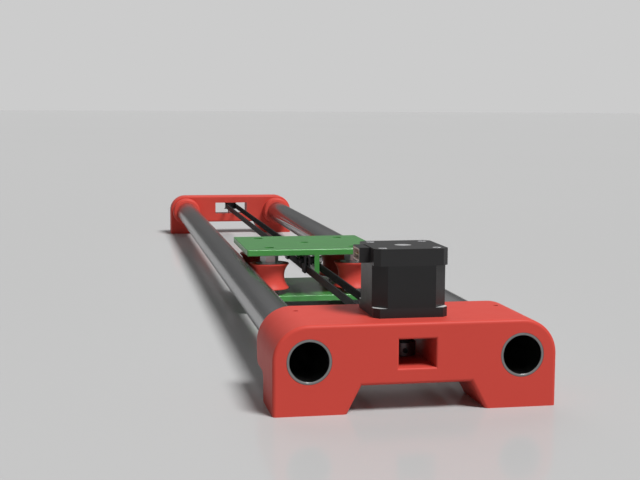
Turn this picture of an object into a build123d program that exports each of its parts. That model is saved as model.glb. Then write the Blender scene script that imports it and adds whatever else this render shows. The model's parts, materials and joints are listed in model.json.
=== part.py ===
from build123d import *
import os
from math import pi, radians, sqrt, tan

# Motorized camera slider, millimetres.
# +Y runs along the tubes away from the motor, +Z is up, Z = 0 is the surface that the feet stand on.
# The origin is at the bottom centre of the whole object.

# Rails
LENGTH = 960.0  # over the outer faces of both end blocks, and the length of each tube
TUBE_D = 25.0
TUBE_WALL = 1.5
TUBE_SPACING = 120.0  # between the two tube axes
AXIS_Z = 29.5  # height of the tube axes

# End blocks
BLOCK_MARGIN = 20.0  # block material round each tube axis, and the radius of the top corners
FOOT_W = 41.0
NOTCH_TOP_W = 62.0
NOTCH_H = 15.3
EDGE_R = 2.0
WINDOW_EDGE_R = 1.2
MOTOR_BLOCK_D = 65.0
MOTOR_FOOT_D = 38.0
FOOT_ROOT_R = 4.0  # inside corner behind the feet of the motor block
BELLY_R = 6.0  # lower rear edge of the motor block
MOTOR_WINDOW_W = 21.0
MOTOR_WINDOW_H = 16.0
IDLER_BLOCK_D = 25.0
IDLER_WINDOW_W = 42.0
BOSS_R = 17.5
BOSS_LENGTH = 15.0
BOSS_ROUND = 3.0
GRUB_D = 3.0
GRUB_LENGTH = 5.0
GRUB_INSET = 46.0  # from the motor end face to its two tube grub screws
IDLER_GRUB_INSET = 19.0  # from the idler end face to its two tube grub screws

# Stepper motor, shaft down
MOTOR_SIZE = 42.3
MOTOR_INSET = 35.0  # from the motor end face to the shaft axis
FLANGE_H = 5.5
STATOR_H = 23.5
CAP_H = 9.5
FLANGE_CHAMFER = 3.1
STATOR_CHAMFER = 7.4
CAP_CHAMFER = 3.2
PILOT_D = 22.0
PILOT_H = 2.0
PILOT_CLEARANCE = 0.25
MOTOR_SCREW_PITCH = 31.0
SHAFT_D = 5.0
SHAFT_OUT = 24.0  # from the mounting face to the tip
SHAFT_FLAT = 0.5
SHAFT_FLAT_LENGTH = 15.0
SHAFT_HOLE_CLEARANCE = 0.5
ROTOR_D = 22.0
ROTOR_LENGTH = 19.0
AIR_GAP = 0.3
FRONT_BEARING_D = 16.0
FRONT_BEARING_H = 5.0
REAR_BEARING_D = 10.0
REAR_BEARING_H = 4.0
REAR_BEARING_SINK = 0.2  # below the top of the rear cap
CONNECTOR_OUT = 6.0
CONNECTOR_W = 16.5
CONNECTOR_H = 8.5
CONNECTOR_WALL = 0.6
CONNECTOR_DEPTH = 5.2
CONNECTOR_TOP_DROP = 0.4
HEADER_WALL = 0.9
HEADER_BACK = 0.8
PIN_COUNT = 6
PIN_PITCH = 2.0
PIN_SIZE = 0.6
PIN_OUT = 4.0

# Metric screws and nuts
M3_HEAD_D = 5.5
M3_HEAD_H = 3.0
M3_SOCKET_AF = 2.5
M3_D = 3.0
M3_CLEARANCE = 0.2  # radial
HEAD_CLEARANCE = 0.5  # radial, between a screw head and its counterbore
HEAD_EDGE = 0.3  # bevel round the top of a screw head
M3_NUT_AF = 5.5
M3_NUT_H = 2.4
M3_WASHER_D = 7.0
M3_WASHER_H = 0.5
MOUNT_SCREW_LENGTH = 12.0
MOUNT_SCREW_BITE = 4.0  # thread length inside the motor flange
CASE_HEAD_SINK = 2.6
M5_D = 5.0
M5_HEAD_D = 8.5
M5_HEAD_H = 5.0
M5_SOCKET_AF = 4.0
M8_D = 8.0
M8_AF = 13.0
M8_HEAD_H = 5.3
M8_NUT_H = 6.5
M8_THIN_NUT_H = 4.0
M8_CLEARANCE = 0.2  # radial
HEX_FACE_SHARE = 0.95  # round end face of a nut or bolt head, as a share of its flats
HEX_BEVEL = 30.0  # degrees

# Belt drive
BELT_W = 6.0
BELT_THICKNESS = 0.63
TOOTH_COUNT = 20
TOOTH_PITCH = 2.0
PITCH_LINE = 0.254  # from the tooth tips out to the pitch line
TOOTH_DEPTH = 0.75
TOOTH_GROOVE_R = 0.555
BELT_CLEARANCE = 0.14  # between tooth tips and belt
PULLEY_FLANGE_D = 16.0
PULLEY_FLANGE_H = 1.0
PULLEY_GROOVE_W = 7.0
PULLEY_HUB_H = 6.5
PULLEY_GRUB_LENGTH = 4.0
BELT_DROP = 11.25  # belt centre below the underside of the top plate
IDLER_INSET = 13.0  # from the idler end face to the idler axis
IDLER_FLANGE_H = 0.75
IDLER_SHIM_H = 0.5
IDLER_BEARING_D = 9.0
IDLER_BEARING_H = 3.0
IDLER_BOLT_LENGTH = 25.0
IDLER_HEAD_SINK = 5.5
BELT_TO_WINDOW_FLOOR = 11.75  # motor block window
IDLER_WINDOW_H = 15.0

# Rollers and their bearings
ROLLING_R = 12.5
ROLLER_GAP = 0.3  # between roller waist and tube
GROOVE_EASE = 1.5  # groove radius over tube radius
RIM_H = 0.65
LOWER_PLATE_GAP = 2.25  # between tube and bottom plate
UPPER_SHIM_H = 1.0
LOWER_SHIM_H = 0.5
SHIM_D = 12.0
BEARING_D = 22.0
BEARING_BORE = 8.0
BEARING_H = 7.0
BEARING_INNER_D = 12.1
BEARING_RACE_GAP = 0.3
SHIELD_SINK = 0.4
SHIELD_OUTER_D = 19.0
ROLLER_WEB_BORE = 17.0

# Carriage
CARRIAGE_INSET = 362.0  # from the motor end face to the carriage centre, as it stands at rest
PLATE_W = 110.0
PLATE_LENGTH = 100.0
PLATE_T = 5.0
PLATE_CORNER_R = 2.0
PLATE_EDGE_R = 0.8
AXLE_PITCH = 68.0  # between the axles along the tubes
AXLE_BOLT_LENGTH = 40.0
CAMERA_HOLE_D = 7.0
POST_T = 4.0
POST_LEFT = -0.3  # X of the post's left face
POST_LENGTH = 11.5
POST_HANG = 19.5  # below the underside of the top plate
POST_ROUND = 3.0
JAW_CLEARANCE = 0.3
JAW_OUTER_T = 1.5
JAW_INNER_T = 1.5
JAW_BELOW_BELT = 0.2
JAW_TOP_GAP = 0.6
CLAMP_SCREW_OVER_BELT = 7.0
CLAMP_SCREW_LENGTH = 16.0

# Sizes worked out from the ones above
BLOCK_W = TUBE_SPACING + 2 * BLOCK_MARGIN
BLOCK_H = AXIS_Z + BLOCK_MARGIN
NEAR_Y = -LENGTH / 2
FAR_Y = LENGTH / 2
TUBE_X = TUBE_SPACING / 2
TUBE_R = TUBE_D / 2
MOTOR_Y = NEAR_Y + MOTOR_INSET
IDLER_Y = FAR_Y - IDLER_INSET
FAR_INNER_Y = FAR_Y - IDLER_BLOCK_D
CARRIAGE_Y = NEAR_Y + CARRIAGE_INSET
BOTTOM_PLATE_TOP = AXIS_Z - TUBE_R - LOWER_PLATE_GAP
BOTTOM_PLATE_Z = BOTTOM_PLATE_TOP - PLATE_T
ROLLER_H = 2 * (AXIS_Z - BOTTOM_PLATE_TOP - M8_THIN_NUT_H - LOWER_SHIM_H)
ROLLER_TOP = AXIS_Z + ROLLER_H / 2
ROLLER_BOTTOM = AXIS_Z - ROLLER_H / 2
TOP_PLATE_Z = ROLLER_TOP + UPPER_SHIM_H + M8_NUT_H
TOP_PLATE_TOP = TOP_PLATE_Z + PLATE_T
AXLE_X = TUBE_X - TUBE_R - ROLLING_R
WAIST_R = ROLLING_R - ROLLER_GAP
GROOVE_R = TUBE_R + GROOVE_EASE
RIM_R = WAIST_R + GROOVE_R - sqrt(GROOVE_R**2 - (ROLLER_H / 2 - RIM_H) ** 2)
BELT_Z = TOP_PLATE_Z - BELT_DROP
PITCH_R = TOOTH_COUNT * TOOTH_PITCH / (2 * pi)
TIP_R = PITCH_R - PITCH_LINE
BELT_IN_R = TIP_R + BELT_CLEARANCE
BELT_OUT_R = BELT_IN_R + BELT_THICKNESS
MOTOR_WINDOW_Z = BELT_Z - BELT_TO_WINDOW_FLOOR
IDLER_HALF_H = PULLEY_GROOVE_W / 2 + IDLER_FLANGE_H
IDLER_WINDOW_TOP = BELT_Z + IDLER_HALF_H + IDLER_SHIM_H
IDLER_WINDOW_Z = IDLER_WINDOW_TOP - IDLER_WINDOW_H
FLANGE_TOP = BLOCK_H + FLANGE_H
STATOR_TOP = FLANGE_TOP + STATOR_H
MOTOR_TOP = STATOR_TOP + CAP_H

LOW = (Align.CENTER, Align.CENTER, Align.MIN)


def disc(radius, low, high, x=0.0, y=0.0):
    """A round solid about a vertical axis, between two heights."""
    return Pos(x, y, low) * Cylinder(radius, high - low, align=LOW)


def ring(outer, inner, low, high, x=0.0, y=0.0):
    """A round solid with a round bore, between two heights."""
    return disc(outer, low, high, x, y) - disc(inner, low, high, x, y)


def slab(width, length, low, high, x=0.0, y=0.0):
    """An upright box between two heights."""
    return Pos(x, y, low) * Box(width, length, high - low, align=LOW)


def hexagon(across_flats, low, high, x=0.0, y=0.0):
    """A hexagonal solid with two flats across the X axis."""
    shape = RegularPolygon(across_flats / 2, 6, major_radius=False)
    return Pos(x, y, low) * extrude(shape, high - low)


def bevelled_hexagon(across_flats, low, high, x=0.0, y=0.0):
    """A nut or bolt head, its corners turned down at both ends."""
    face_r = across_flats / 2 * HEX_FACE_SHARE
    corner_r = across_flats / sqrt(3)
    bevel = (corner_r - face_r) * tan(radians(HEX_BEVEL))
    outline = Polyline(
        (0, low),
        (face_r, low),
        (corner_r, low + bevel),
        (corner_r, high - bevel),
        (face_r, high),
        (0, high),
        close=True,
    )
    turned = revolve(Plane.XZ * make_face(outline), Axis.Z)
    return Pos(x, y, 0) * (hexagon(across_flats, low, high) & turned)


def along_y(sketch, start, length):
    """Extrudes a sketch drawn in X and Z along +Y from start."""
    return Pos(0, start + length, 0) * extrude(Plane.XZ * sketch, length)


def socket_screw(thread_d, length, head_d, head_h, socket_af):
    """A socket head cap screw pointing down, its head's seat at Z = 0."""
    head = disc(head_d / 2, 0, head_h)
    head = chamfer(head.edges().group_by(Axis.Z)[-1], HEAD_EDGE)
    shank = disc(thread_d / 2, -length, 0)
    return head + shank - hexagon(socket_af, head_h / 2, head_h)


def m3_screw(length):
    return socket_screw(M3_D, length, M3_HEAD_D, M3_HEAD_H, M3_SOCKET_AF)


def group(shapes):
    """Separate solids that share one node."""
    return Compound(children=[solid for shape in shapes for solid in shape.solids()])


def both_tubes(make):
    return [make(-TUBE_X), make(TUBE_X)]


# End blocks


def block_outline():
    """The face that both end blocks share: round shoulders, two feet and the notch between them."""
    body = Pos(0, BLOCK_H / 2) * Rectangle(BLOCK_W, BLOCK_H)
    body = fillet(body.vertices().group_by(Axis.Y)[-1], BLOCK_MARGIN)
    floor_half = BLOCK_W / 2 - FOOT_W
    top_half = NOTCH_TOP_W / 2
    notch = Polyline(
        (-floor_half, 0), (-top_half, NOTCH_H), (top_half, NOTCH_H), (floor_half, 0), close=True
    )
    return body - make_face(notch)


def motor_block_side():
    """The motor block from the side: feet under its front, a raised belly behind them."""
    outline = Polyline(
        (0, 0),
        (MOTOR_FOOT_D, 0),
        (MOTOR_FOOT_D, NOTCH_H),
        (MOTOR_BLOCK_D, NOTCH_H),
        (MOTOR_BLOCK_D, BLOCK_H),
        (0, BLOCK_H),
        close=True,
    )
    side = make_face(outline)
    corners = side.vertices()
    root = corners.sort_by_distance(Vector(MOTOR_FOOT_D, NOTCH_H))[0]
    side = fillet(root, FOOT_ROOT_R)
    belly = side.vertices().sort_by_distance(Vector(MOTOR_BLOCK_D, NOTCH_H))[0]
    return fillet(belly, BELLY_R)


def outer_face_edges(solid, face_y):
    """The edges of an end face that get rounded: all but those on the floor."""
    edges = solid.edges().filter_by_position(Axis.Y, face_y - 0.01, face_y + 0.01)
    return edges.filter_by(lambda edge: edge.center().Z > EDGE_R)


def window_cut(width, low, high, start, depth):
    return Pos(0, start + depth / 2, low) * Box(width, depth, high - low, align=LOW)


def tube_bores(start, depth):
    return [
        along_y(Pos(x, AXIS_Z) * Circle(TUBE_R), start, depth)
        for x in (-TUBE_X, TUBE_X)
    ]


def grub_hole(x, y):
    return disc(GRUB_D / 2, AXIS_Z, BLOCK_H + 1, x, y)


def motor_mount_bores():
    """Screw holes from below, with a deep counterbore for each head."""
    seat = BLOCK_H + MOUNT_SCREW_BITE - MOUNT_SCREW_LENGTH
    bores = []
    for x, y in motor_screw_places():
        bores.append(disc(M3_D / 2 + M3_CLEARANCE, NOTCH_H - 1, BLOCK_H + 1, x, y))
        bores.append(disc(M3_HEAD_D / 2 + HEAD_CLEARANCE, NOTCH_H - 1, seat, x, y))
    return bores


def motor_screw_places():
    half = MOTOR_SCREW_PITCH / 2
    return [(sx * half, MOTOR_Y + sy * half) for sx in (-1, 1) for sy in (-1, 1)]


def make_motor_end_block():
    front = along_y(block_outline(), NEAR_Y, MOTOR_BLOCK_D)
    side = Pos(-BLOCK_W / 2, NEAR_Y, 0) * extrude(Plane.YZ * motor_block_side(), BLOCK_W)
    block = front & side
    block = fillet(outer_face_edges(block, NEAR_Y), EDGE_R)
    block = fillet(outer_face_edges(block, NEAR_Y + MOTOR_BLOCK_D), EDGE_R)
    window_top = MOTOR_WINDOW_Z + MOTOR_WINDOW_H
    block -= window_cut(MOTOR_WINDOW_W, MOTOR_WINDOW_Z, window_top, NEAR_Y, MOTOR_BLOCK_D)
    rim = outer_face_edges(block, NEAR_Y)
    rim = rim.filter_by(lambda edge: abs(edge.center().X) < MOTOR_WINDOW_W)
    rim = rim.filter_by(lambda edge: MOTOR_WINDOW_Z - 1 < edge.center().Z < window_top + 1)
    block = fillet(rim, WINDOW_EDGE_R)
    block -= disc(PILOT_D / 2 + PILOT_CLEARANCE, window_top - 1, BLOCK_H, 0, MOTOR_Y)
    for cut in tube_bores(NEAR_Y, MOTOR_BLOCK_D) + motor_mount_bores():
        block -= cut
    for x in (-TUBE_X, TUBE_X):
        block -= grub_hole(x, NEAR_Y + GRUB_INSET)
    return block


def tube_boss(x):
    """The round collar that carries a tube on the inner side of the idler block."""
    blank = along_y(Pos(x, AXIS_Z) * Circle(BOSS_R), FAR_INNER_Y - BOSS_LENGTH, BOSS_LENGTH + 1)
    end = blank.edges().group_by(Axis.Y)[0]
    return fillet(end, BOSS_ROUND)


def idler_bolt_bores():
    seat = NOTCH_H + IDLER_HEAD_SINK
    tip = seat + IDLER_BOLT_LENGTH
    return [
        disc(M5_HEAD_D / 2 + HEAD_CLEARANCE, NOTCH_H - 1, seat, 0, IDLER_Y),
        disc(M5_D / 2, NOTCH_H, tip + 1, 0, IDLER_Y),
    ]


def make_idler_end_block():
    block = along_y(block_outline(), FAR_INNER_Y, IDLER_BLOCK_D)
    block = fillet(outer_face_edges(block, FAR_Y), EDGE_R)
    block = fillet(outer_face_edges(block, FAR_INNER_Y), EDGE_R)
    for boss in both_tubes(tube_boss):
        block += boss
    block -= window_cut(
        IDLER_WINDOW_W, IDLER_WINDOW_Z, IDLER_WINDOW_TOP, FAR_INNER_Y, IDLER_BLOCK_D
    )
    bore_start = FAR_INNER_Y - BOSS_LENGTH
    for cut in tube_bores(bore_start, IDLER_BLOCK_D + BOSS_LENGTH) + idler_bolt_bores():
        block -= cut
    for x in (-TUBE_X, TUBE_X):
        block -= grub_hole(x, FAR_Y - IDLER_GRUB_INSET)
    return block


# Tubes and what holds them


def make_tube(x):
    section = Pos(x, AXIS_Z) * (Circle(TUBE_R) - Circle(TUBE_R - TUBE_WALL))
    return along_y(section, NEAR_Y, LENGTH)


def make_tube_grub_screws():
    screws = []
    for y in (NEAR_Y + GRUB_INSET, FAR_Y - IDLER_GRUB_INSET):
        for x in (-TUBE_X, TUBE_X):
            low = AXIS_Z + TUBE_R
            screw = disc(GRUB_D / 2, low, low + GRUB_LENGTH, x, y)
            screws.append(screw - hexagon(GRUB_D / 2, low + GRUB_LENGTH / 2, low + GRUB_LENGTH, x, y))
    return group(screws)


# Motor


def chamfered_square(size, corner):
    square = Rectangle(size, size)
    return chamfer(square.vertices(), corner)


def motor_slice(corner, low, high):
    face = chamfered_square(MOTOR_SIZE, corner)
    return Pos(0, MOTOR_Y, low) * extrude(face, high - low)


def front_bearing_z():
    return FLANGE_TOP - FRONT_BEARING_H


def rear_bearing_z():
    return MOTOR_TOP - REAR_BEARING_SINK - REAR_BEARING_H


def make_motor_flange():
    flange = motor_slice(FLANGE_CHAMFER, BLOCK_H, FLANGE_TOP)
    flange += disc(PILOT_D / 2, BLOCK_H - PILOT_H, BLOCK_H, 0, MOTOR_Y)
    flange -= disc(FRONT_BEARING_D / 2, front_bearing_z(), FLANGE_TOP, 0, MOTOR_Y)
    flange -= disc(SHAFT_D / 2 + SHAFT_HOLE_CLEARANCE, BLOCK_H - PILOT_H, FLANGE_TOP, 0, MOTOR_Y)
    for x, y in motor_screw_places():
        flange -= disc(M3_D / 2, BLOCK_H, BLOCK_H + MOUNT_SCREW_BITE, x, y)
    return flange


def make_motor_stator():
    stator = motor_slice(STATOR_CHAMFER, FLANGE_TOP, STATOR_TOP)
    stator -= disc(ROTOR_D / 2 + AIR_GAP, FLANGE_TOP, STATOR_TOP, 0, MOTOR_Y)
    for x, y in motor_screw_places():
        stator -= disc(M3_D / 2, FLANGE_TOP, STATOR_TOP, x, y)
    return stator


def make_motor_rear_cap():
    cap = motor_slice(CAP_CHAMFER, STATOR_TOP, MOTOR_TOP)
    cap -= disc(REAR_BEARING_D / 2, rear_bearing_z(), MOTOR_TOP, 0, MOTOR_Y)
    cap -= disc(SHAFT_D / 2 + SHAFT_HOLE_CLEARANCE, STATOR_TOP, MOTOR_TOP, 0, MOTOR_Y)
    for x, y in motor_screw_places():
        cap -= disc(M3_D / 2, STATOR_TOP, MOTOR_TOP, x, y)
        cap -= disc(M3_HEAD_D / 2, MOTOR_TOP - CASE_HEAD_SINK, MOTOR_TOP, x, y)
    return cap


def make_motor_case_screws():
    seat = MOTOR_TOP - CASE_HEAD_SINK
    screws = []
    for x, y in motor_screw_places():
        screw = socket_screw(M3_D, seat - FLANGE_TOP, M3_HEAD_D, CASE_HEAD_SINK, M3_SOCKET_AF)
        screws.append(Pos(x, y, seat) * screw)
    return group(screws)


def make_motor_mount_screws():
    seat = BLOCK_H + MOUNT_SCREW_BITE - MOUNT_SCREW_LENGTH
    screw = Rot(180, 0, 0) * m3_screw(MOUNT_SCREW_LENGTH)
    return group([Pos(x, y, seat) * screw for x, y in motor_screw_places()])


def motor_bearings():
    """Diameter, lower face and upper face of the two shaft bearings."""
    front = front_bearing_z()
    rear = rear_bearing_z()
    return [
        (FRONT_BEARING_D, front, front + FRONT_BEARING_H),
        (REAR_BEARING_D, rear, rear + REAR_BEARING_H),
    ]


def motor_inner_r(diameter):
    return (SHAFT_D + diameter) / 4 - BEARING_RACE_GAP


def make_motor_inner_races():
    races = []
    for diameter, low, high in motor_bearings():
        races.append(ring(motor_inner_r(diameter), SHAFT_D / 2, low, high, 0, MOTOR_Y))
    return group(races)


def make_motor_outer_races():
    """The outer races, closed by their shields down to a narrow gap."""
    races = []
    for diameter, low, high in motor_bearings():
        bore = motor_inner_r(diameter) + BEARING_RACE_GAP
        races.append(ring(diameter / 2, bore, low, high, 0, MOTOR_Y))
    return group(races)


def make_motor_shaft():
    tip = BLOCK_H - SHAFT_OUT
    shaft = disc(SHAFT_D / 2, tip, rear_bearing_z() + REAR_BEARING_H, 0, MOTOR_Y)
    flat_y = MOTOR_Y - SHAFT_D / 2 + SHAFT_FLAT
    flat = slab(SHAFT_D, SHAFT_D, tip, tip + SHAFT_FLAT_LENGTH, 0, flat_y - SHAFT_D / 2)
    return shaft - flat


def make_rotor_core():
    low = (FLANGE_TOP + STATOR_TOP - ROTOR_LENGTH) / 2
    return ring(ROTOR_D / 2, SHAFT_D / 2, low, low + ROTOR_LENGTH, 0, MOTOR_Y)


def connector_box():
    """Lowest and highest X and Z of the connector on the motor's left side."""
    right = -MOTOR_SIZE / 2
    top = MOTOR_TOP - CONNECTOR_TOP_DROP
    return right - CONNECTOR_OUT, right, top - CONNECTOR_H, top


def connector_block(wall, depth):
    """What fills the connector from its mouth inwards, a wall's thickness inside its outline."""
    left, right, low, top = connector_box()
    width = CONNECTOR_W - 2 * wall
    return slab(depth, width, low + wall, top - wall, left + depth / 2, MOTOR_Y)


def make_motor_connector():
    """The shroud, open to the left."""
    return connector_block(0, CONNECTOR_OUT) - connector_block(CONNECTOR_WALL, CONNECTOR_DEPTH)


def make_motor_connector_header():
    """The socket that fills the shroud and holds the pins."""
    cavity = connector_block(CONNECTOR_WALL + HEADER_WALL, CONNECTOR_DEPTH - HEADER_BACK)
    return connector_block(CONNECTOR_WALL, CONNECTOR_DEPTH) - cavity


def make_motor_connector_pins():
    left, right, low, top = connector_box()
    middle = (low + top) / 2
    back = left + CONNECTOR_DEPTH - HEADER_BACK
    pins = []
    for index in range(PIN_COUNT):
        y = MOTOR_Y + (index - (PIN_COUNT - 1) / 2) * PIN_PITCH
        half = PIN_SIZE / 2
        pins.append(slab(PIN_OUT, PIN_SIZE, middle - half, middle + half, back - PIN_OUT / 2, y))
    return group(pins)


# Belt drive


def toothed_rim(low, high):
    """A ring of belt teeth, one round groove between each two."""
    face = Circle(TIP_R)
    groove = Circle(TOOTH_GROOVE_R)
    reach = TIP_R - TOOTH_DEPTH + TOOTH_GROOVE_R
    for place in PolarLocations(reach, TOOTH_COUNT):
        face -= place * groove
    return Pos(0, 0, low) * extrude(face, high - low)


def make_drive_pulley():
    half = PULLEY_GROOVE_W / 2
    teeth_low = BELT_Z - half
    teeth_high = BELT_Z + half
    hub_top = teeth_low - PULLEY_FLANGE_H
    pulley = toothed_rim(teeth_low, teeth_high)
    pulley += disc(PULLEY_FLANGE_D / 2, hub_top - PULLEY_HUB_H, teeth_low)
    pulley += disc(PULLEY_FLANGE_D / 2, teeth_high, teeth_high + PULLEY_FLANGE_H)
    pulley -= disc(SHAFT_D / 2, 0, BLOCK_H)
    for turn in pulley_grub_turns():
        pulley -= turn * radial_hole()
    return Pos(0, MOTOR_Y, 0) * pulley


def pulley_grub_turns():
    """The two grub screws sit a quarter turn apart, one of them on the shaft's flat."""
    return [Rot(0, 0, angle) for angle in (0, 90)]


def grub_z():
    return BELT_Z - PULLEY_GROOVE_W / 2 - PULLEY_FLANGE_H - PULLEY_HUB_H / 2


def radial_hole():
    hole = Rot(90, 0, 0) * Cylinder(GRUB_D / 2, PULLEY_FLANGE_D / 2, align=LOW)
    return Pos(0, 0, grub_z()) * hole


def make_pulley_grub_screws():
    screw = Rot(90, 0, 0) * Cylinder(GRUB_D / 2, PULLEY_GRUB_LENGTH, align=LOW)
    place = Pos(0, -SHAFT_D / 2, grub_z())
    return group([Pos(0, MOTOR_Y, 0) * turn * place * screw for turn in pulley_grub_turns()])


def make_drive_belt():
    """A closed loop round the drive pulley and the idler."""
    middle = (MOTOR_Y + IDLER_Y) / 2
    span = IDLER_Y - MOTOR_Y

    def loop(radius):
        return Rot(0, 0, 90) * SlotCenterToCenter(span, 2 * radius)

    band = loop(BELT_OUT_R) - loop(BELT_IN_R)
    return Pos(0, middle, BELT_Z - BELT_W / 2) * extrude(band, BELT_W)


def make_idler_pulley():
    half = PULLEY_GROOVE_W / 2
    pulley = toothed_rim(BELT_Z - half, BELT_Z + half)
    pulley += disc(PULLEY_FLANGE_D / 2, BELT_Z - IDLER_HALF_H, BELT_Z - half)
    pulley += disc(PULLEY_FLANGE_D / 2, BELT_Z + half, BELT_Z + IDLER_HALF_H)
    pulley -= disc(IDLER_BEARING_D / 2 - 1, 0, BLOCK_H)
    for low, high in idler_bearing_places():
        pulley -= disc(IDLER_BEARING_D / 2, low, high)
    return Pos(0, IDLER_Y, 0) * pulley


def idler_bearing_places():
    low = BELT_Z - IDLER_HALF_H
    high = BELT_Z + IDLER_HALF_H
    return [(low, low + IDLER_BEARING_H), (high - IDLER_BEARING_H, high)]


def idler_inner_r():
    return (M5_D + IDLER_BEARING_D) / 4 - BEARING_RACE_GAP / 2


def make_idler_outer_races():
    inner = idler_inner_r() + BEARING_RACE_GAP
    races = [ring(IDLER_BEARING_D / 2, inner, low, high) for low, high in idler_bearing_places()]
    return Pos(0, IDLER_Y, 0) * group(races)


def make_idler_inner_races():
    races = [ring(idler_inner_r(), M5_D / 2, low, high) for low, high in idler_bearing_places()]
    return Pos(0, IDLER_Y, 0) * group(races)


def make_idler_spacers():
    """The sleeve under the idler, the one between its bearings and the shim over it."""
    low = BELT_Z - IDLER_HALF_H
    high = BELT_Z + IDLER_HALF_H
    between = (low + IDLER_BEARING_H, high - IDLER_BEARING_H)
    spans = [(IDLER_WINDOW_Z, low), between, (high, IDLER_WINDOW_TOP)]
    outer = idler_inner_r()
    return Pos(0, IDLER_Y, 0) * group([ring(outer, M5_D / 2, *span) for span in spans])


def make_idler_axle_bolt():
    seat = NOTCH_H + IDLER_HEAD_SINK
    bolt = socket_screw(M5_D, IDLER_BOLT_LENGTH, M5_HEAD_D, M5_HEAD_H, M5_SOCKET_AF)
    return Pos(0, IDLER_Y, seat) * Rot(180, 0, 0) * bolt


# Rollers


def axle_places():
    half = AXLE_PITCH / 2
    return {
        "front_left": (-AXLE_X, CARRIAGE_Y - half),
        "front_right": (AXLE_X, CARRIAGE_Y - half),
        "rear_left": (-AXLE_X, CARRIAGE_Y + half),
        "rear_right": (AXLE_X, CARRIAGE_Y + half),
    }


def roller_shape():
    """An hourglass roller about the Z axis, its waist hollowed to the tube's round."""
    blank = Pos(RIM_R / 2, 0) * Rectangle(RIM_R, ROLLER_H)
    profile = blank - Pos(WAIST_R + GROOVE_R, 0) * Circle(GROOVE_R)
    profile -= Rectangle(ROLLER_WEB_BORE, ROLLER_H)
    for side in (-1, 1):
        seat = Rectangle(BEARING_D, BEARING_H)
        profile -= Pos(0, side * (ROLLER_H - BEARING_H) / 2) * seat
    return revolve(Plane.XZ * profile, Axis.Z)


def bearing_heights():
    """Where each of a roller's two bearings starts."""
    return [ROLLER_BOTTOM, ROLLER_TOP - BEARING_H]


def bearing_outer_race(low):
    """Outer ring with its shields, which lie a little below its faces."""
    high = low + BEARING_H
    bore = BEARING_INNER_D / 2 + BEARING_RACE_GAP
    race = ring(BEARING_D / 2, bore, low, high)
    for start, end in ((low, low + SHIELD_SINK), (high - SHIELD_SINK, high)):
        race -= disc(SHIELD_OUTER_D / 2, start, end)
    return race


def make_roller(x, y):
    return Pos(x, y, AXIS_Z) * roller_shape()


def make_roller_outer_races(x, y):
    return Pos(x, y, 0) * group([bearing_outer_race(low) for low in bearing_heights()])


def make_roller_inner_races():
    races = []
    for x, y in axle_places().values():
        for low in bearing_heights():
            races.append(ring(BEARING_INNER_D / 2, BEARING_BORE / 2, low, low + BEARING_H, x, y))
    return group(races)


def make_roller_sleeves():
    """The sleeve on each axle between its two inner races."""
    low = ROLLER_BOTTOM + BEARING_H
    high = ROLLER_TOP - BEARING_H
    return group([ring(SHIM_D / 2, M8_D / 2, low, high, x, y) for x, y in axle_places().values()])


def make_axle_shims():
    shims = []
    for x, y in axle_places().values():
        shims.append(ring(SHIM_D / 2, M8_D / 2, ROLLER_BOTTOM - LOWER_SHIM_H, ROLLER_BOTTOM, x, y))
        shims.append(ring(SHIM_D / 2, M8_D / 2, ROLLER_TOP, ROLLER_TOP + UPPER_SHIM_H, x, y))
    return group(shims)


def make_axle_nuts(low, high):
    nuts = []
    for x, y in axle_places().values():
        nuts.append(bevelled_hexagon(M8_AF, low, high, x, y) - disc(M8_D / 2, low, high, x, y))
    return group(nuts)


def make_axle_bolts():
    """Hexagon bolts from below, screwed into the top plate."""
    bolts = []
    for x, y in axle_places().values():
        seat = BOTTOM_PLATE_Z
        head = bevelled_hexagon(M8_AF, seat - M8_HEAD_H, seat, x, y)
        bolts.append(head + disc(M8_D / 2, seat, seat + AXLE_BOLT_LENGTH, x, y))
    return group(bolts)


# Carriage


def plate_blank(low):
    blank = slab(PLATE_W, PLATE_LENGTH, low, low + PLATE_T, 0, CARRIAGE_Y)
    blank = fillet(blank.edges().filter_by(Axis.Z), PLATE_CORNER_R)
    rims = blank.edges().group_by(Axis.Z)
    return fillet(rims[0] + rims[-1], PLATE_EDGE_R)


def post_ends():
    """Where each belt post starts and which way it points: front, then rear."""
    return [CARRIAGE_Y - PLATE_LENGTH / 2, CARRIAGE_Y + PLATE_LENGTH / 2 - POST_LENGTH]


def belt_post(start):
    """A flat post under the top plate with rounded lower corners."""
    blank = slab(POST_T, POST_LENGTH, TOP_PLATE_Z - POST_HANG, TOP_PLATE_Z + 1)
    lower = blank.edges().filter_by(Axis.X).group_by(Axis.Z)[0]
    post = fillet(lower, POST_ROUND)
    return Pos(POST_LEFT + POST_T / 2, start + POST_LENGTH / 2, 0) * post


def across_x(radius, left, right, y, z):
    """A round solid along X between two places."""
    return Pos(left, y, z) * Rot(0, 90, 0) * Cylinder(radius, right - left, align=LOW)


def clamp_screw_z():
    return BELT_Z + CLAMP_SCREW_OVER_BELT


def jaw_outer_left():
    """X of the outer jaw's far face, where the clamp screw's head sits."""
    return -(BELT_OUT_R + JAW_CLEARANCE + JAW_OUTER_T)


def jaw_inner_left():
    """X of the inner jaw's face beside the belt, clear of its teeth."""
    return -(BELT_IN_R - TOOTH_DEPTH - JAW_CLEARANCE)


def clamp_bore(start):
    radius = M3_D / 2 + M3_CLEARANCE
    left = jaw_outer_left() - 1
    return across_x(radius, left, POST_LEFT + POST_T + 1, start + POST_LENGTH / 2, clamp_screw_z())


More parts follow.
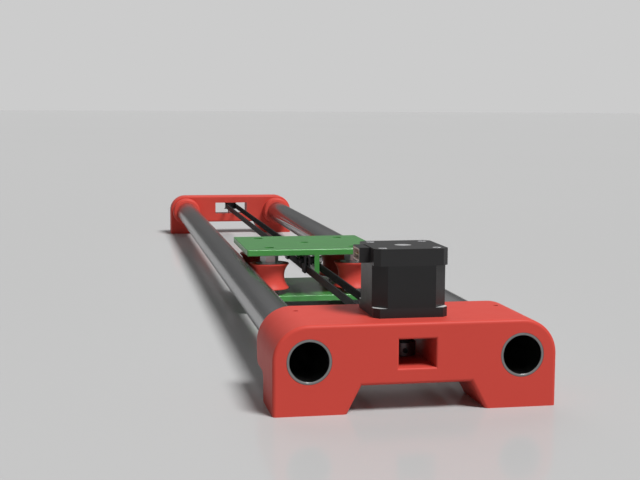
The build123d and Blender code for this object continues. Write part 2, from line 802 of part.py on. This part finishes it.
def make_carriage_top_plate():
    plate = plate_blank(TOP_PLATE_Z)
    for start in post_ends():
        plate += belt_post(start)
        plate -= clamp_bore(start)
    for x, y in axle_places().values():
        plate -= disc(M8_D / 2, TOP_PLATE_Z, TOP_PLATE_TOP, x, y)
    plate -= disc(CAMERA_HOLE_D / 2, TOP_PLATE_Z, TOP_PLATE_TOP, 0, CARRIAGE_Y)
    return plate


def make_carriage_bottom_plate():
    plate = plate_blank(BOTTOM_PLATE_Z)
    for x, y in axle_places().values():
        plate -= disc(M8_D / 2 + M8_CLEARANCE, BOTTOM_PLATE_Z, BOTTOM_PLATE_TOP, x, y)
    return plate


def clamp_jaw(left, right, start):
    low = BELT_Z - BELT_W / 2 - JAW_BELOW_BELT
    high = TOP_PLATE_Z - JAW_TOP_GAP
    middle = (left + right) / 2
    jaw = slab(right - left, POST_LENGTH, low, high, middle, start + POST_LENGTH / 2)
    return jaw - clamp_bore(start)


def make_outer_jaws():
    right = -(BELT_OUT_R + JAW_CLEARANCE)
    return group([clamp_jaw(jaw_outer_left(), right, start) for start in post_ends()])


def make_inner_jaws():
    left = jaw_inner_left()
    return group([clamp_jaw(left, left + JAW_INNER_T, start) for start in post_ends()])


def make_clamp_sleeves():
    """The spacers on the clamp screws between the inner jaws and the posts."""
    left = jaw_inner_left() + JAW_INNER_T
    sleeves = []
    for start in post_ends():
        y = start + POST_LENGTH / 2
        outer = across_x(M3_HEAD_D / 2, left, POST_LEFT, y, clamp_screw_z())
        sleeves.append(outer - across_x(M3_D / 2, left, POST_LEFT, y, clamp_screw_z()))
    return group(sleeves)


def make_clamp_screws():
    screw = Rot(0, -90, 0) * m3_screw(CLAMP_SCREW_LENGTH)
    z = clamp_screw_z()
    return group([Pos(jaw_outer_left(), y + POST_LENGTH / 2, z) * screw for y in post_ends()])


def make_clamp_washers():
    left = POST_LEFT + POST_T
    washers = []
    for start in post_ends():
        y = start + POST_LENGTH / 2
        washer = across_x(M3_WASHER_D / 2, left, left + M3_WASHER_H, y, clamp_screw_z())
        washers.append(washer - across_x(M3_D / 2, left, left + M3_WASHER_H, y, clamp_screw_z()))
    return group(washers)


def make_clamp_nuts():
    left = POST_LEFT + POST_T + M3_WASHER_H
    nut = bevelled_hexagon(M3_NUT_AF, 0, M3_NUT_H) - disc(M3_D / 2, 0, M3_NUT_H)
    turned = Rot(0, 90, 0) * nut
    z = clamp_screw_z()
    return group([Pos(left, y + POST_LENGTH / 2, z) * turned for y in post_ends()])


def all_nodes():
    nodes = {
        "motor_end_block": make_motor_end_block(),
        "idler_end_block": make_idler_end_block(),
        "left_tube": make_tube(-TUBE_X),
        "right_tube": make_tube(TUBE_X),
        "tube_grub_screws": make_tube_grub_screws(),
        "motor_flange": make_motor_flange(),
        "motor_stator": make_motor_stator(),
        "motor_rear_cap": make_motor_rear_cap(),
        "motor_case_screws": make_motor_case_screws(),
        "motor_mount_screws": make_motor_mount_screws(),
        "motor_connector": make_motor_connector(),
        "motor_connector_header": make_motor_connector_header(),
        "motor_connector_pins": make_motor_connector_pins(),
        "motor_outer_races": make_motor_outer_races(),
        "motor_inner_races": make_motor_inner_races(),
        "motor_shaft": make_motor_shaft(),
        "rotor_core": make_rotor_core(),
        "drive_pulley": make_drive_pulley(),
        "pulley_grub_screws": make_pulley_grub_screws(),
        "drive_belt": make_drive_belt(),
        "idler_pulley": make_idler_pulley(),
        "idler_outer_races": make_idler_outer_races(),
        "idler_inner_races": make_idler_inner_races(),
        "idler_spacers": make_idler_spacers(),
        "idler_axle_bolt": make_idler_axle_bolt(),
        "carriage_top_plate": make_carriage_top_plate(),
        "carriage_bottom_plate": make_carriage_bottom_plate(),
        "axle_bolts": make_axle_bolts(),
        "upper_axle_nuts": make_axle_nuts(TOP_PLATE_Z - M8_NUT_H, TOP_PLATE_Z),
        "lower_axle_nuts": make_axle_nuts(BOTTOM_PLATE_TOP, BOTTOM_PLATE_TOP + M8_THIN_NUT_H),
        "axle_shims": make_axle_shims(),
        "roller_inner_races": make_roller_inner_races(),
        "roller_sleeves": make_roller_sleeves(),
        "belt_clamp_outer_jaws": make_outer_jaws(),
        "belt_clamp_inner_jaws": make_inner_jaws(),
        "belt_clamp_sleeves": make_clamp_sleeves(),
        "belt_clamp_screws": make_clamp_screws(),
        "belt_clamp_washers": make_clamp_washers(),
        "belt_clamp_nuts": make_clamp_nuts(),
    }
    for corner, (x, y) in axle_places().items():
        nodes["roller_" + corner] = make_roller(x, y)
        nodes["roller_outer_races_" + corner] = make_roller_outer_races(x, y)
    return nodes


def main():
    os.makedirs("parts", exist_ok=True)
    for name, shape in all_nodes().items():
        export_step(shape, "parts/" + name + ".step")


main()
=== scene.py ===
import json
import math
import bpy
from mathutils import Matrix, Vector


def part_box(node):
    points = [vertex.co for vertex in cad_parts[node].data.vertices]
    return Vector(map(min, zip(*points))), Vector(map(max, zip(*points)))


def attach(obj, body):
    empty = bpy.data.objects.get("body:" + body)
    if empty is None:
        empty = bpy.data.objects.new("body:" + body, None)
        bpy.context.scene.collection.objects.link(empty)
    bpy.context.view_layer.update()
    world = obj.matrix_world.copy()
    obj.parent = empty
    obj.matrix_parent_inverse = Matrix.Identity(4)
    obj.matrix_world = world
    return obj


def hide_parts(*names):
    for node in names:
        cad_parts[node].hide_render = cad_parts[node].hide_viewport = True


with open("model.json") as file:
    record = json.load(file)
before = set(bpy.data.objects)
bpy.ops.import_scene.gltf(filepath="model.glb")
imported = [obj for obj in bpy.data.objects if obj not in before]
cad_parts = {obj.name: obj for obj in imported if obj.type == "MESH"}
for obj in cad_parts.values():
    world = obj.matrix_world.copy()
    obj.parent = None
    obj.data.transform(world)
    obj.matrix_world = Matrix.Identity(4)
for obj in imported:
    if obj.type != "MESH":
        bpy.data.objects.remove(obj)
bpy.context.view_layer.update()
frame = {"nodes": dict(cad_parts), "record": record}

MM = 0.001

# Camera, matched to the photograph: its place in metres from the foot of the motor end face's
# middle, its turns in radians, and its lens
CAMERA_FROM_END = (-0.1663, -0.5944, 0.1634)
CAMERA_YAW = 0.1858
CAMERA_PITCH = -0.1120
CAMERA_ROLL = 0.0048
FOCAL_PIXELS = 1148.9
IMAGE_WIDTH = 640
SENSOR_WIDTH = 36.0
CLIP_NEAR = 0.05
CLIP_FAR = 1000

# Colours as they look, sRGB
RED = (0.74, 0.262, 0.225)
GREEN = (0.26, 0.53, 0.26)
TUBE_GREY = (0.86, 0.86, 0.865)
# Tube ends: duller cut metal, darkened further as painted shade that damps their reflections
TUBE_CUT_SHADED = (0.46, 0.46, 0.46)
MOTOR_BLACK = (0.13, 0.13, 0.133)
STATOR_BLACK = (0.105, 0.105, 0.108)
FLANGE_LEVEL_GREY = (0.86, 0.86, 0.86)
STEEL = (0.80, 0.80, 0.81)
BOLT_STEEL = (0.40, 0.40, 0.41)
BEARING = (0.90, 0.90, 0.90)
BLACK_OXIDE = (0.13, 0.13, 0.135)
RUBBER = (0.075, 0.075, 0.077)
PULLEY_GREY = (0.36, 0.36, 0.37)
NYLON_BLACK = (0.11, 0.11, 0.113)
NYLON_WHITE = (0.76, 0.71, 0.68)
PIN = (0.86, 0.80, 0.66)
CLAMP_BLACK = (0.10, 0.10, 0.103)
FLOOR_PALE = (0.72, 0.72, 0.72)
BACKGROUND = (0.80, 0.80, 0.80)

# Floor
FLOOR_REACH = 200.0
FLOOR_POLISH = 0.2
FLOOR_ROUGHNESS = 0.12

# Light: where each lamp shines from, how wide it looks in degrees, and its strength
KEY = ((0.30, -0.42, 0.86), 20, 4.2)
FILL = ((-0.5, -0.7, 0.5), 60, 0.15)
BACK = ((0.1, 0.8, 0.6), 50, 0.7)

# World: how bright matt surfaces see it, and how bright reflections do near the horizon and above
WORLD_DIFFUSE = 0.16
HORIZON_GLOSS = 0.26
ZENITH_GLOSS = 1.5
HORIZON_TOP = 0.15

# Texture sizes, in patches per metre
SLOW_DRIFT = 9
COLOUR_DRIFT = 14
COAT_DRIFT = 40
GLOSS_PATCHES = 60
COAT_PATCHES = 90
METAL_STAINS = 120
SHEET_PATCHES = 200
RUBBER_STAINS = 300
RUBBER_PATCHES = 500
METAL_PATCHES = 700
ORANGE_PEEL = 1300
DRAWN_LINES = 1500
MOULD_GRAIN = 2600
METAL_GRAIN = 3000
RUBBER_GRAIN = 4000
SHEET_PITCH = 0.5 * MM

# Tubes
TUBE_WALL = 1.5 * MM
TUBE_BEVEL = 0.25 * MM
TUBE_POINTS = 160
# How square to Y a face must be to get the ends' partly painted-shade grey; set low so that the
# bevels' glints are painted over too
SAWN_SHADE_LIMIT = 0.5

# Edges sharper than this stay sharp on pieces made here, in degrees
SHARP_ANGLE = 35

# Belt and its teeth
BELT_PITCH = 2.0 * MM
PULLEY_TEETH = 20
BELT_WEB = 0.63 * MM
TOOTH_HEIGHT = 0.72 * MM
TOOTH_ROOT_SHARE = 0.66
TOOTH_TIP_SHARE = 0.36
BELT_EDGE = 0.12 * MM


def linear(colour):
    """An sRGB colour as the linear one that shaders use."""
    out = [c / 12.92 if c <= 0.04045 else ((c + 0.055) / 1.055) ** 2.4 for c in colour]
    return (*out, 1.0)


# Materials


class Shader:
    """A Principled material in the making, with short calls for the nodes that feed it."""

    def __init__(self, name):
        self.material = bpy.data.materials.new(name)
        self.material.use_nodes = True
        self.tree = self.material.node_tree
        self.bsdf = self.tree.nodes["Principled BSDF"]
        self.place = self.tree.nodes.new("ShaderNodeTexCoord").outputs["Object"]

    def node(self, kind, **values):
        made = self.tree.nodes.new(kind)
        for key, value in values.items():
            setattr(made, key, value)
        return made

    def link(self, source, target):
        self.tree.links.new(source, target)

    def noise(self, scale, detail=3.0, stretch=(1, 1, 1)):
        """Soft random patches, scale of them to the metre."""
        mapping = self.node("ShaderNodeMapping")
        mapping.inputs["Scale"].default_value = stretch
        self.link(self.place, mapping.inputs["Vector"])
        noise = self.node("ShaderNodeTexNoise")
        noise.inputs["Scale"].default_value = scale
        noise.inputs["Detail"].default_value = detail
        self.link(mapping.outputs["Vector"], noise.inputs["Vector"])
        return noise.outputs["Fac"]

    def bands(self, pitch):
        """Fine level lines at a pitch in metres."""
        wave = self.node("ShaderNodeTexWave", bands_direction="Z")
        wave.inputs["Scale"].default_value = math.tau / (20 * pitch)
        self.link(self.place, wave.inputs["Vector"])
        return wave.outputs["Fac"]

    def remap(self, source, low, high):
        """A source of 0 to 1 spread from low to high."""
        ranged = self.node("ShaderNodeMapRange")
        ranged.inputs["To Min"].default_value = low
        ranged.inputs["To Max"].default_value = high
        self.link(source, ranged.inputs["Value"])
        return ranged.outputs["Result"]

    def facing(self, axis, limit=0.9):
        """1 on faces that look along an axis, either way, 0 elsewhere."""
        normal = self.node("ShaderNodeSeparateXYZ")
        self.link(self.node("ShaderNodeTexCoord").outputs["Normal"], normal.inputs[0])
        size = self.node("ShaderNodeMath", operation="ABSOLUTE")
        self.link(normal.outputs[axis], size.inputs[0])
        square = self.node("ShaderNodeMath", operation="GREATER_THAN")
        square.inputs[1].default_value = limit
        self.link(size.outputs[0], square.inputs[0])
        return square.outputs[0]

    def mix(self, share, first, second):
        """The first colour, and the second one where share is 1; each is a colour or a socket."""
        mix = self.node("ShaderNodeMix", data_type="RGBA")
        for socket, colour in ((mix.inputs[6], first), (mix.inputs[7], second)):
            if isinstance(colour, bpy.types.NodeSocket):
                self.link(colour, socket)
            else:
                socket.default_value = colour
        self.link(share, mix.inputs[0])
        return mix.outputs[2]

    def shade(self, source, colour, spread):
        """The colour, darker and lighter by spread where the source is low and high."""
        base = linear(colour)[:3]
        dark = (*[c * (1 - spread) for c in base], 1)
        light = (*[min(1, c * (1 + spread)) for c in base], 1)
        return self.mix(source, dark, light)

    def bump(self, source, distance, strength):
        """A surface that stands distance metres higher where the source is 1."""
        bump = self.node("ShaderNodeBump")
        bump.inputs["Distance"].default_value = distance
        bump.inputs["Strength"].default_value = strength
        self.link(source, bump.inputs["Height"])
        return bump.outputs["Normal"]

    def set(self, **values):
        """Fill the named inputs with values or links, and give the finished material."""
        for key, value in values.items():
            socket = self.bsdf.inputs[key.replace("_", " ")]
            if isinstance(value, bpy.types.NodeSocket):
                self.link(value, socket)
            else:
                socket.default_value = value
        return self.material


def moulded(name, colour, roughness, gloss=0.3, grain=0.02):
    """Satin plastic: faint colour drift, uneven gloss and a fine grain that is grain mm deep."""
    s = Shader(name)
    return s.set(
        Base_Color=s.shade(s.noise(COLOUR_DRIFT, 4), colour, 0.05),
        Roughness=s.remap(s.noise(GLOSS_PATCHES), roughness - 0.05, roughness + 0.06),
        Specular_IOR_Level=gloss,
        Normal=s.bump(s.noise(MOULD_GRAIN, 2), grain * MM, 0.6),
    )


def turned(name, colour, roughness, metallic=0.8):
    """Bare metal with a fine random grain."""
    s = Shader(name)
    return s.set(
        Base_Color=s.shade(s.noise(METAL_STAINS), colour, 0.07),
        Metallic=metallic,
        Roughness=s.remap(s.noise(METAL_PATCHES), roughness - 0.06, roughness + 0.08),
        Normal=s.bump(s.noise(METAL_GRAIN, 2), 0.004 * MM, 0.5),
    )


def drawn_tube():
    """Drawn metal with fine lines along Y, and duller cut ends whose darker grey is partly painted
    shade that damps their reflections.
    """
    s = Shader("tube_metal")
    lines = s.noise(1, 2, (DRAWN_LINES, 10, DRAWN_LINES))
    # Ends and bevels: duller cut metal, partly painted shade over their reflections
    cut_and_shade = s.facing("Y", SAWN_SHADE_LIMIT)
    return s.set(
        Base_Color=s.mix(cut_and_shade, s.shade(s.noise(SLOW_DRIFT, 4), TUBE_GREY, 0.05), linear(TUBE_CUT_SHADED)),
        Metallic=s.remap(cut_and_shade, 1.0, 0.3),
        Specular_Tint=(0.6, 0.6, 0.6, 1),
        Roughness=s.remap(lines, 0.13, 0.24),
        Normal=s.bump(lines, 0.005 * MM, 0.4),
    )


def paint(s, low, high):
    """The inputs that the motor's black satin coat shares, with a light orange peel."""
    return {
        "Roughness": s.remap(s.noise(COAT_PATCHES), low, high),
        "Specular_IOR_Level": 0.35,
        "Normal": s.bump(s.noise(ORANGE_PEEL), 0.012 * MM, 0.6),
    }


def motor_paint():
    """Black coat on castings."""
    s = Shader("motor_black")
    coat = s.shade(s.noise(COAT_DRIFT, 4), MOTOR_BLACK, 0.08)
    return s.set(Base_Color=coat, **paint(s, 0.30, 0.42))


def flange_paint():
    """The flange's black coat, with a light metal colour on its faces that look up and down."""
    s = Shader("motor_flange")
    level_faces = s.facing("Z")
    coat = s.shade(s.noise(COAT_DRIFT, 4), MOTOR_BLACK, 0.08)
    return s.set(
        Base_Color=s.mix(level_faces, coat, linear(FLANGE_LEVEL_GREY)),
        Metallic=s.remap(level_faces, 0.0, 0.4),
        **paint(s, 0.32, 0.44),
    )


def laminations():
    """Black stacked sheets."""
    s = Shader("stator_black")
    stack = s.bands(SHEET_PITCH)
    return s.set(
        Base_Color=s.shade(stack, STATOR_BLACK, 0.18),
        Roughness=s.remap(s.noise(SHEET_PATCHES), 0.26, 0.40),
        Specular_IOR_Level=0.35,
        Normal=s.bump(stack, 0.02 * MM, 0.5),
    )


def rubber():
    """Matt belt rubber with a dusty colour."""
    s = Shader("belt_rubber")
    return s.set(
        Base_Color=s.shade(s.noise(RUBBER_STAINS, 4), RUBBER, 0.15),
        Roughness=s.remap(s.noise(RUBBER_PATCHES), 0.55, 0.75),
        Specular_IOR_Level=0.25,
        Normal=s.bump(s.noise(RUBBER_GRAIN, 2), 0.02 * MM, 0.7),
    )


MATERIALS = {
    "red_print": moulded("red_plastic", RED, 0.45, 0.12),
    "green_plate": moulded("green_plastic", GREEN, 0.20, 0.5, 0.004),
    "tube_metal": drawn_tube(),
    "motor_black": motor_paint(),
    "stator_black": laminations(),
    "steel": turned("steel", STEEL, 0.40),
    "black_steel": turned("black_steel", BLACK_OXIDE, 0.38),
    "bearing_steel": turned("bearing_steel", BEARING, 0.36),
    "connector_plastic": moulded("connector_nylon", NYLON_BLACK, 0.42),
    "header_nylon": moulded("header_nylon", NYLON_WHITE, 0.45),
    "pin_metal": turned("pin_metal", PIN, 0.25),
    "belt_rubber": rubber(),
    "pulley_metal": turned("pulley_metal", PULLEY_GREY, 0.34),
    "clamp_plastic": moulded("clamp_plastic", CLAMP_BLACK, 0.45),
}
OWN_MATERIALS = {
    "motor_flange": flange_paint(),
    "axle_bolts": turned("bolt_steel", BOLT_STEEL, 0.45),
}


def dress_nodes():
    """Every CAD node gets the material of its slot, or its own."""
    for part in frame["record"]["subparts"]:
        name = part["node"]
        node = frame["nodes"][name]
        node.data.materials.clear()
        node.data.materials.append(OWN_MATERIALS.get(name) or MATERIALS[part["material_slot"]])


# Pieces that stand for CAD nodes, all on the fixed rails


def add_piece(name, rings, slot, node):
    """A smooth closed mesh that replaces a CAD node."""
    points, faces = closed_grid(rings)
    mesh = bpy.data.meshes.new(name)
    mesh.from_pydata(points, [], faces)
    mesh.validate()
    mesh.shade_smooth()
    mesh.set_sharp_from_angle(angle=math.radians(SHARP_ANGLE))
    mesh.materials.append(MATERIALS[slot])
    piece = bpy.data.objects.new(name, mesh)
    bpy.context.scene.collection.objects.link(piece)
    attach(piece, "rails")
    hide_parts(node)


def closed_grid(rings):
    """Quads between rings of points, closed both ways."""
    count = len(rings[0])
    points = [point for ring in rings for point in ring]
    faces = []
    for r in range(len(rings)):
        here = r * count
        there = (r + 1) % len(rings) * count
        for i in range(count):
            j = (i + 1) % count
            faces.append((here + i, there + i, there + j, here + j))
    return points, faces


def make_tube(node):
    """A drawn tube with bevelled ends."""
    low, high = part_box(node)
    axis_x = (low.x + high.x) / 2
    axis_z = (low.z + high.z) / 2
    outer = (high.z - low.z) / 2
    inner = outer - TUBE_WALL
    outline = [
        (outer - TUBE_BEVEL, low.y),
        (outer, low.y + TUBE_BEVEL),
        (outer, high.y - TUBE_BEVEL),
        (outer - TUBE_BEVEL, high.y),
        (inner + TUBE_BEVEL, high.y),
        (inner, high.y - TUBE_BEVEL),
        (inner, low.y + TUBE_BEVEL),
        (inner + TUBE_BEVEL, low.y),
    ]
    rings = []
    for radius, y in outline:
        ring = []
        for i in range(TUBE_POINTS):
            turn = math.tau * i / TUBE_POINTS
            ring.append((axis_x + radius * math.cos(turn), y, axis_z + radius * math.sin(turn)))
        rings.append(ring)
    add_piece(node + "_drawn", rings, "tube_metal", node)


class BeltLoop:
    """The belt's pitch line: two straight runs between two pulleys of the same size."""

    def __init__(self):
        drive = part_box("drive_pulley")
        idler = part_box("idler_pulley")
        self.start = (drive[0].y + drive[1].y) / 2
        self.end = (idler[0].y + idler[1].y) / 2
        self.radius = PULLEY_TEETH * BELT_PITCH / math.tau
        self.run = (self.end - self.start) / BELT_PITCH
        self.bend = PULLEY_TEETH / 2
        self.teeth = round(2 * self.run) + PULLEY_TEETH

    def point(self, steps, offset):
        """The place that lies steps pitches along the loop and offset outside it."""
        radius = self.radius + offset
        way = steps % (2 * (self.run + self.bend))
        if way < self.run:
            return radius, self.start + way * BELT_PITCH
        way -= self.run
        if way < self.bend:
            turn = way / self.bend * math.pi
            return radius * math.cos(turn), self.end + radius * math.sin(turn)
        way -= self.bend
        if way < self.run:
            return -radius, self.end - way * BELT_PITCH
        turn = (way - self.run) / self.bend * math.pi
        return -radius * math.cos(turn), self.start - radius * math.sin(turn)


def make_belt():
    """The closed belt with its teeth, which sit in the pulleys' grooves."""
    low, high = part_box("drive_belt")
    loop = BeltLoop()
    outside = (high.x - low.x) / 2 - loop.radius
    inside = outside - BELT_WEB
    tip = inside - TOOTH_HEIGHT
    root = TOOTH_ROOT_SHARE / 2
    crest = TOOTH_TIP_SHARE / 2
    profile = [(-0.5, inside), (-root, inside), (-crest, tip), (crest, tip), (root, inside)]
    steps = [(tooth + step, offset) for tooth in range(loop.teeth) for step, offset in profile]
    toothed = [loop.point(step, offset) for step, offset in steps]
    smooth = [loop.point(step, outside) for step, _ in steps]
    rounded = [loop.point(step, outside - BELT_EDGE) for step, _ in steps]
    layers = [
        (toothed, low.z),
        (toothed, high.z),
        (rounded, high.z),
        (smooth, high.z - BELT_EDGE),
        (smooth, low.z + BELT_EDGE),
        (rounded, low.z),
    ]
    rings = [[(x, y, z) for x, y in line] for line, z in layers]
    add_piece("toothed_belt", rings, "belt_rubber", "drive_belt")


# Camera, light and floor


def make_camera():
    """The photograph's own view."""
    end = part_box("motor_end_block")[0].y
    data = bpy.data.cameras.new("camera")
    data.sensor_width = SENSOR_WIDTH
    data.lens = FOCAL_PIXELS * SENSOR_WIDTH / IMAGE_WIDTH
    data.clip_start = CLIP_NEAR
    data.clip_end = CLIP_FAR
    camera = bpy.data.objects.new("camera", data)
    bpy.context.scene.collection.objects.link(camera)
    flat = math.cos(CAMERA_PITCH)
    forward = Vector(
        (math.sin(CAMERA_YAW) * flat, math.cos(CAMERA_YAW) * flat, math.sin(CAMERA_PITCH))
    )
    level = Vector((math.cos(CAMERA_YAW), -math.sin(CAMERA_YAW), 0))
    above = level.cross(forward)
    right = level * math.cos(CAMERA_ROLL) + above * math.sin(CAMERA_ROLL)
    up = above * math.cos(CAMERA_ROLL) - level * math.sin(CAMERA_ROLL)
    turn = Matrix((right, up, -forward)).transposed().to_4x4()
    x, y, z = CAMERA_FROM_END
    camera.matrix_world = Matrix.Translation((x, end + y, z)) @ turn
    bpy.context.scene.camera = camera


def make_lights():
    """Wide soft suns; only the key shows in reflections."""
    for name, (source, width, strength) in {"key": KEY, "fill": FILL, "back": BACK}.items():
        data = bpy.data.lights.new(name, "SUN")
        data.angle = math.radians(width)
        data.energy = strength
        lamp = bpy.data.objects.new(name, data)
        lamp.visible_glossy = name == "key"
        bpy.context.scene.collection.objects.link(lamp)
        lamp.rotation_mode = "QUATERNION"
        lamp.rotation_quaternion = Vector(source).to_track_quat("Z", "Y")


def make_world():
    """Dim light from all round; the camera sees the background, and reflections a brighter zenith."""
    world = bpy.data.worlds.new("studio")
    bpy.context.scene.world = world
    world.use_nodes = True
    tree = world.node_tree
    background = tree.nodes["Background"]
    background.inputs["Color"].default_value = linear(BACKGROUND)
    path = tree.nodes.new("ShaderNodeLightPath")
    direction = tree.nodes.new("ShaderNodeSeparateXYZ")
    tree.links.new(tree.nodes.new("ShaderNodeTexCoord").outputs["Generated"], direction.inputs[0])
    sky = tree.nodes.new("ShaderNodeMapRange")
    sky.inputs["From Min"].default_value = HORIZON_TOP
    sky.inputs["To Min"].default_value = HORIZON_GLOSS - WORLD_DIFFUSE
    sky.inputs["To Max"].default_value = ZENITH_GLOSS - WORLD_DIFFUSE
    tree.links.new(direction.outputs["Z"], sky.inputs["Value"])
    strength = None
    for ray in ("Is Camera Ray", "Is Transmission Ray", "Is Glossy Ray"):
        add = tree.nodes.new("ShaderNodeMath")
        add.operation = "MULTIPLY_ADD"
        add.inputs[1].default_value = 1 - WORLD_DIFFUSE
        add.inputs[2].default_value = WORLD_DIFFUSE
        tree.links.new(path.outputs[ray], add.inputs[0])
        if ray == "Is Glossy Ray":
            tree.links.new(sky.outputs["Result"], add.inputs[1])
        if strength:
            tree.links.new(strength, add.inputs[2])
        strength = add.outputs[0]
    tree.links.new(strength, background.inputs["Strength"])


def make_floor():
    """A pale floor with no edge in sight and a faint, even polish."""
    reach = FLOOR_REACH
    corners = [(-reach, -reach, 0), (reach, -reach, 0), (reach, reach, 0), (-reach, reach, 0)]
    mesh = bpy.data.meshes.new("floor")
    mesh.from_pydata(corners, [], [(0, 1, 2, 3)])
    floor = bpy.data.objects.new("floor", mesh)
    bpy.context.scene.collection.objects.link(floor)
    s = Shader("floor_pale")
    mesh.materials.append(
        s.set(
            Base_Color=s.shade(s.noise(0.6, 2), FLOOR_PALE, 0.01),
            Metallic=FLOOR_POLISH,
            Roughness=FLOOR_ROUGHNESS,
            Specular_IOR_Level=0.0,
        )
    )


dress_nodes()
for tube_node in ("left_tube", "right_tube"):
    make_tube(tube_node)
make_belt()
make_camera()
make_lights()
make_world()
make_floor()
bpy.context.scene.view_settings.view_transform = "Standard"
